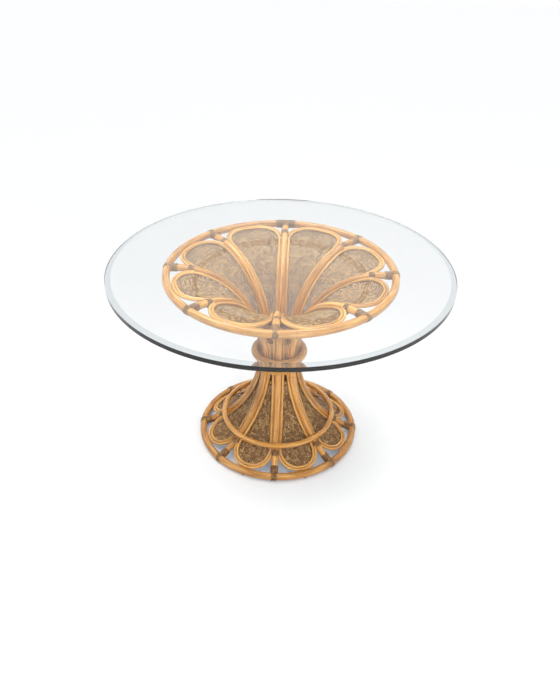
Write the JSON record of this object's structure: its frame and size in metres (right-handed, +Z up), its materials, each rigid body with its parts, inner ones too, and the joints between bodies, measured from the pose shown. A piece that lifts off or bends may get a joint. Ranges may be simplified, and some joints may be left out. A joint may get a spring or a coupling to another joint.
{
  "type": "pedestal table",
  "caption": "Round bevelled glass on a pedestal of bent rattan poles that flares from a bound waist to a base ring and a top ring, with cane loops and woven panels between the ribs.",
  "frame": {"origin": "on the floor, below the middle of the glass", "axes": "+Z up along the pedestal's axis; a rib stands in the direction of +X and of +Y"},
  "size_m": [1.2198, 1.22, 0.75],
  "materials": {
    "rattan_pole": "satin lacquer",
    "rattan_cane": "satin lacquer",
    "peel_strip": "satin lacquer",
    "woven_cane": "open weave",
    "bevelled_glass": "polished",
    "clear_pad": "clear soft pad",
    "nylon_glide": "moulded",
    "turned_hardwood": "bare",
    "steel_screw": "zinc plated"
  },
  "bodies": {
    "pedestal": {"base_hoop": "rattan_pole", "base_panel_1": "woven_cane", "base_panel_2": "woven_cane", "base_panel_3": "woven_cane", "base_panel_4": "woven_cane", "base_panel_5": "woven_cane", "base_panel_6": "woven_cane", "base_panel_7": "woven_cane", "base_panel_8": "woven_cane", "base_parting_bindings": "peel_strip", "base_petal_1": "rattan_cane", "base_petal_2": "rattan_cane", "base_petal_3": "rattan_cane", "base_petal_4": "rattan_cane", "base_petal_5": "rattan_cane", "base_petal_6": "rattan_cane", "base_petal_7": "rattan_cane", "base_petal_8": "rattan_cane", "base_rib_end_bindings": "peel_strip", "base_ring": "rattan_pole", "base_ring_bindings": "peel_strip", "base_tip_bows": "rattan_cane", "collar_hoop": "rattan_pole", "floor_glides": "nylon_glide", "glass_bumpers": "clear_pad", "rib_1": "rattan_pole", "rib_2": "rattan_pole", "rib_3": "rattan_pole", "rib_4": "rattan_pole", "rib_5": "rattan_pole", "rib_6": "rattan_pole", "rib_7": "rattan_pole", "rib_8": "rattan_pole", "top_hoop": "rattan_pole", "top_panel_1": "woven_cane", "top_panel_2": "woven_cane", "top_panel_3": "woven_cane", "top_panel_4": "woven_cane", "top_panel_5": "woven_cane", "top_panel_6": "woven_cane", "top_panel_7": "woven_cane", "top_panel_8": "woven_cane", "top_parting_bindings": "peel_strip", "top_petal_1": "rattan_cane", "top_petal_2": "rattan_cane", "top_petal_3": "rattan_cane", "top_petal_4": "rattan_cane", "top_petal_5": "rattan_cane", "top_petal_6": "rattan_cane", "top_petal_7": "rattan_cane", "top_petal_8": "rattan_cane", "top_rib_end_bindings": "peel_strip", "top_ring": "rattan_pole", "top_ring_bindings": "peel_strip", "top_tip_bows": "rattan_cane", "waist_block": "turned_hardwood", "waist_screws": "steel_screw", "waist_winding": "rattan_cane"},
    "glass": {"glass_top": "bevelled_glass"}
  },
  "joints": [
    {"name": "glass_lift", "type": "slide", "parent": "pedestal", "child": "glass", "axis": [0, 0, 1], "range_m": [0, 0.2]}
  ]
}
